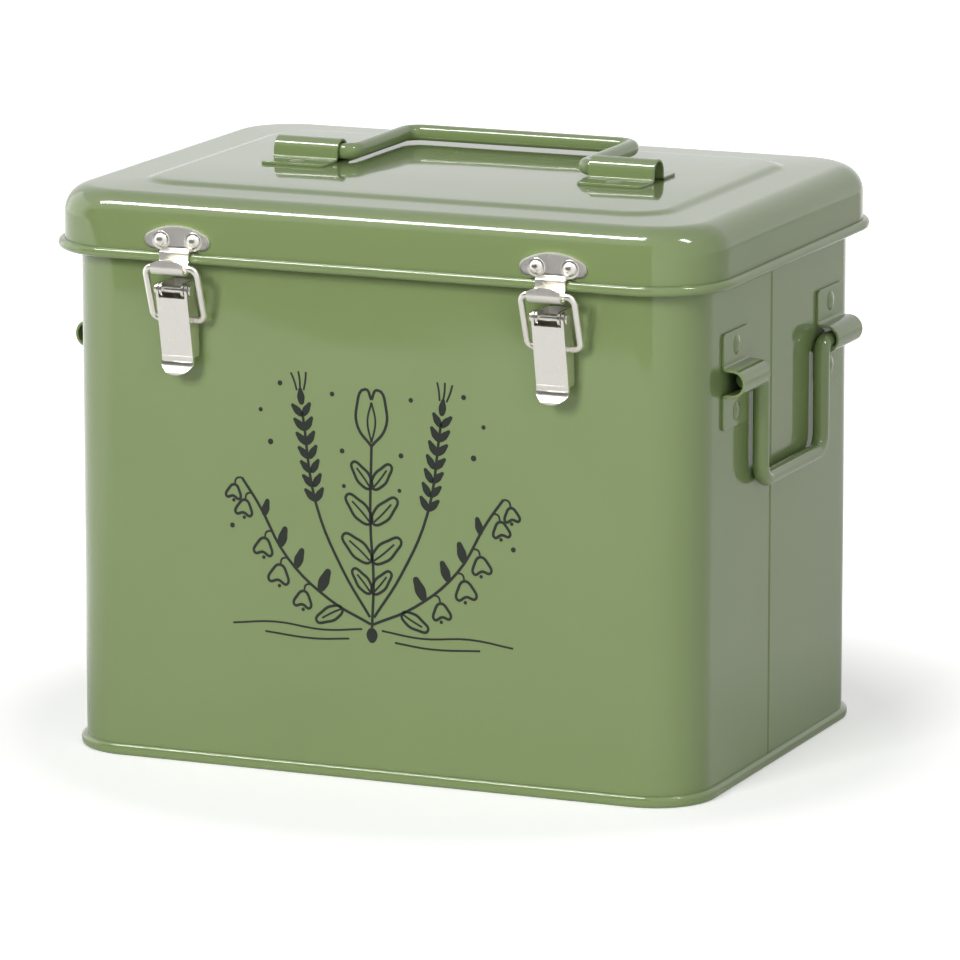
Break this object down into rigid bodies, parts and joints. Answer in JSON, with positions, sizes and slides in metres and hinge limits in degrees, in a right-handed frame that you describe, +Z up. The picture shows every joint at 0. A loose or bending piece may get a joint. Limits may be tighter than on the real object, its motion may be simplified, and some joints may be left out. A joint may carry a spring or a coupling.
{
  "type": "garden seed organizer tin",
  "caption": "Painted sheet-steel box with a hinged drawn lid, draw latches at the front, a folding carrying bail on the lid and a drop bail on each end.",
  "frame": {"origin": "middle of the base, in the plane that the tin stands on", "axes": "+X to the right along the tin's long side, -Y towards the front with the latches, +Z up"},
  "size_m": [0.2056, 0.1608, 0.1708],
  "materials": {
    "painted_steel": "gloss",
    "plated_steel": "polished"
  },
  "bodies": {
    "tin": {"body_shell": "painted_steel", "bottom_panel": "painted_steel", "partition": "painted_steel", "latch_base_left": "plated_steel", "latch_base_right": "plated_steel", "latch_base_rivets": "plated_steel", "latch_pin_left": "plated_steel", "latch_pin_right": "plated_steel", "side_bracket_left_front": "painted_steel", "side_bracket_left_rear": "painted_steel", "side_bracket_right_front": "painted_steel", "side_bracket_right_rear": "painted_steel", "side_bracket_rivets": "painted_steel", "hinge_leaf_body_left": "painted_steel", "hinge_leaf_body_right": "painted_steel", "hinge_pin_left": "plated_steel", "hinge_pin_right": "plated_steel", "hinge_rivets_body": "painted_steel"},
    "lid": {"lid_shell": "painted_steel", "strike_plate_left": "plated_steel", "strike_plate_right": "plated_steel", "strike_rivets": "plated_steel", "lid_bracket_left": "painted_steel", "lid_bracket_right": "painted_steel", "lid_bracket_rivets": "painted_steel", "hinge_leaf_lid_left": "painted_steel", "hinge_leaf_lid_right": "painted_steel", "hinge_rivets_lid": "painted_steel"},
    "lid_bail": {"lid_bail": "painted_steel"},
    "side_bail_left": {"side_bail_left": "painted_steel"},
    "side_bail_right": {"side_bail_right": "painted_steel"},
    "lever_left": {"latch_lever_left": "plated_steel"},
    "lever_right": {"latch_lever_right": "plated_steel"},
    "loop_left": {"latch_loop_left": "plated_steel"},
    "loop_right": {"latch_loop_right": "plated_steel"}
  },
  "joints": [
    {"name": "lid_open", "type": "hinge", "parent": "tin", "child": "lid", "pos_m": [0, 0.07765, 0.14703], "axis": [-1, 0, 0], "range_deg": [0, 110]},
    {"name": "lid_bail_fold", "type": "hinge", "parent": "lid", "child": "lid_bail", "pos_m": [0, 0, 0.16723], "axis": [1, 0, 0], "range_deg": [0, 180]},
    {"name": "side_bail_left_swing", "type": "hinge", "parent": "tin", "child": "side_bail_left", "pos_m": [-0.09885, 0.002, 0.11645], "axis": [0, 1, 0], "range_deg": [0, 160]},
    {"name": "side_bail_right_swing", "type": "hinge", "parent": "tin", "child": "side_bail_right", "pos_m": [0.09885, 0.002, 0.11645], "axis": [0, -1, 0], "range_deg": [0, 160]},
    {"name": "latch_left_throw", "type": "hinge", "parent": "tin", "child": "lever_left", "pos_m": [-0.057, -0.07605, 0.13783], "axis": [-1, 0, 0], "range_deg": [0, 95]},
    {"name": "loop_left_swing", "type": "hinge", "parent": "lever_left", "child": "loop_left", "pos_m": [-0.057, -0.07245, 0.12883], "axis": [-1, 0, 0], "range_deg": [-52, 0]},
    {"name": "latch_right_throw", "type": "hinge", "parent": "tin", "child": "lever_right", "pos_m": [0.057, -0.07605, 0.13783], "axis": [-1, 0, 0], "range_deg": [0, 95]},
    {"name": "loop_right_swing", "type": "hinge", "parent": "lever_right", "child": "loop_right", "pos_m": [0.057, -0.07245, 0.12883], "axis": [-1, 0, 0], "range_deg": [-52, 0]}
  ],
  "couplings": [
    {"joint": "loop_left_swing", "follows": "latch_left_throw", "ratio": -0.5},
    {"joint": "loop_right_swing", "follows": "latch_right_throw", "ratio": -0.5}
  ]
}
